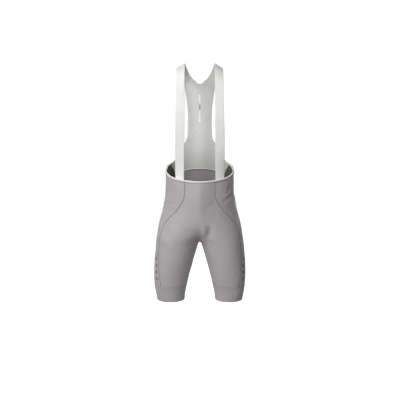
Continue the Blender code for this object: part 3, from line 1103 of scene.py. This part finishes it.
thighMarks = {
    "turns": (-28.5, -33.5, -35, -37.5),
    "levels": (-0.758, -0.785, -0.812, -0.840),
    "bars": (-0.0029, 0.0029),
    "wide": 0.0120,
    "tall": 0.0046,
    "slant": 0.45,
    "lift": 0.00012,
}
neckMarks = {
    "top": -0.115,
    "gap": 0.0013,
    "pale": {"wide": 0.0064, "lengths": (0.0035, 0.011, 0.013, 0.004)},
    "dark": {"wide": 0.0036, "lengths": (0.0065, 0.0075, 0.0065)},
    "paleBelow": {"wide": 0.0064, "lengths": (0.004, 0.012, 0.013, 0.004, 0.0070)},
    "lift": 0.0004,
}


def patchGrid(wide, tall, slant=0.0, across=9, up=7):  # a bar with rounded ends, in metres
    s, t = np.meshgrid(np.linspace(-1, 1, across), np.linspace(-1, 1, up), indexing="xy")
    reach = wide / 2 - tall / 2 * (1 - np.sqrt(np.maximum(1 - t * t, 0)))
    return s * reach, t * tall / 2 + s * reach * slant


def addPrint(name, patches, material):  # patches: (points, side) grids that lie on the cloth
    piece = gridMesh(name, [(points, panelUvs(points), side) for points, side in patches])
    piece.data.materials.append(material)
    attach(piece, "root")


def thighPatch(turn, level, offset, side):
    a, b = patchGrid(thighMarks["wide"], thighMarks["tall"], thighMarks["slant"])
    turn = math.radians(turn)
    perTurn = np.linalg.norm(bodyPoint(turn + 0.01, level) - bodyPoint(turn - 0.01, level)) / 0.02
    points, normals = surfaceAt(turn + a / perTurn, level + offset + b, side)
    return (points + normals * thighMarks["lift"])[::-1], side


def neckPatch(top, wide, length):
    a, b = patchGrid(wide, length)
    points = overShoulder(np.abs(a), top - length / 2 + b, 0, 1)
    points[..., 0] = a
    normals = outwards(points)
    normals *= np.sign(normals[..., 1:2])
    return settled(points, normals) - normals * (bibBack["wall"] + neckMarks["lift"]), -1


darkPrint, _, _ = makeMaterial("dark transfer print", (0.075, 0.070, 0.073), 0.4)
# The white print is real; its slight emission is a painted glow
glowingPrint, _, glowingPrintShader = makeMaterial("white transfer print with a painted glow", (0.96, 0.96, 0.95), 0.4)
glowingPrintShader.inputs["Emission Color"].default_value = (1, 1, 1, 1)
glowingPrintShader.inputs["Emission Strength"].default_value = 0.2  # a painted glow on the white print, so that it reads whiter than the cloth
for hand, side in (("left", 1), ("right", -1)):
    places = zip(thighMarks["turns"], thighMarks["levels"])
    marks = [thighPatch(turn, z, bar, side) for turn, z in places for bar in thighMarks["bars"]]
    addPrint("thighMarks." + hand, marks, darkPrint)
top = neckMarks["top"]
for part, material in (("pale", glowingPrint), ("dark", darkPrint), ("paleBelow", glowingPrint)):
    patches = []
    for length in neckMarks[part]["lengths"]:
        patches.append(neckPatch(top, neckMarks[part]["wide"], length))
        top -= length + neckMarks["gap"]
    addPrint("neckMarks." + part, patches, material)
print("prints laid on")


# Floor, light and camera

studio = {
    "backdrop": 1.05,
    "floorHeight": -1.75,
    "floorSize": 60,
    "ambient": 0.03,
    "lights": {
        "key": {"place": (-2.2, -3.0, 1.4), "size": 1.6, "power": 82},
        "side": {"place": (-3.6, -1.6, 0.8), "size": 1.6, "power": 18},
        "front": {"place": (0.0, -3.2, 2.0), "size": 1.6, "power": 58},
        "low": {"place": (-2.0, -4.2, -0.2), "size": 1.6, "power": 14},
        "top": {"place": (0.2, -1.2, 2.6), "size": 1.6, "power": 6},
        "leftRim": {"place": (-3.2, 2.2, 0.4), "size": 1.6, "power": 26},
        "back": {"place": (-0.6, 3.9, 0.9), "size": 2.4, "power": 72},
        "rightBack": {"place": (2.6, 3.4, 0.4), "size": 1.6, "power": 40},
    },
    "aim": (0, 0, -0.5),
}
view = {"place": (0.0008, -2.9631, -0.0593), "tilt": 81, "lens": 67.5, "sensor": 36}


def addFloor():
    bpy.ops.mesh.primitive_plane_add(size=studio["floorSize"], location=(0, 0, studio["floorHeight"]))
    floor = bpy.context.object
    floor.name = "studioFloor"
    bpy.ops.object.transform_apply()
    material, tree, shader = makeMaterial("white floor", (0.4, 0.4, 0.4), 0.9)
    seen = addNode(tree, "LightPath").outputs["Is Camera Ray"]
    shader.inputs["Emission Color"].default_value = (1, 1, 1, 1)
    tree.links.new(seen, shader.inputs["Emission Strength"])
    floor.data.materials.append(material)


def addLight(name, place, size, power):
    light = bpy.data.lights.new(name, "AREA")
    light.size, light.energy = size, power
    lamp = bpy.data.objects.new(name, light)
    bpy.context.scene.collection.objects.link(lamp)
    lamp.location = place
    aim = np.array(studio["aim"]) - np.array(place)
    lamp.rotation_euler = (
        math.atan2(math.hypot(aim[0], aim[1]), -aim[2]),
        0,
        math.atan2(aim[1], aim[0]) - math.pi / 2,
    )


def addWorld():
    world = bpy.data.worlds.new("studio")
    world.use_nodes = True
    tree = world.node_tree
    tree.nodes.clear()
    ambient = addNode(tree, "Background", [("Color", (1, 1, 1, 1)), ("Strength", studio["ambient"])])
    white = addNode(tree, "Background", [("Color", (1, 1, 1, 1)), ("Strength", studio["backdrop"])])
    seen = addNode(tree, "LightPath").outputs["Is Camera Ray"]
    both = addNode(tree, "MixShader", [(0, seen), (1, ambient.outputs[0]), (2, white.outputs[0])])
    output = addNode(tree, "OutputWorld")
    tree.links.new(both.outputs[0], output.inputs["Surface"])
    bpy.context.scene.world = world


def addCamera():
    lens = bpy.data.cameras.new("view")
    lens.lens = view["lens"]
    lens.sensor_width = view["sensor"]
    camera = bpy.data.objects.new("view", lens)
    camera.location = view["place"]
    camera.rotation_euler = (math.radians(view["tilt"]), 0, 0)
    bpy.context.scene.collection.objects.link(camera)
    bpy.context.scene.camera = camera


addFloor()
addWorld()
for name, light in studio["lights"].items():
    addLight(name, **light)
addCamera()
bpy.context.scene.view_settings.view_transform = "Standard"
print("studio ready")

sheets = {  # the cut of each piece: flat width, length and area, in metres
    "front_panel": (0.40, 0.43, 0.118),
    "back_panel": (0.42, 0.45, 0.121),
    "side_panel_left": (0.20, 0.46, 0.073),
    "side_panel_right": (0.20, 0.46, 0.073),
    "leg_band_left": (0.37, 0.066, 0.024),
    "leg_band_right": (0.37, 0.066, 0.024),
    "bib_back": (0.22, 0.47, 0.056),
    "strap_left": (0.034, 0.56, 0.019),
    "strap_right": (0.034, 0.56, 0.019),
    "waist_binding": (0.016, 0.50, 0.0080),
}
for piece, node in clothPieces:
    width, length, area = sheets[node]
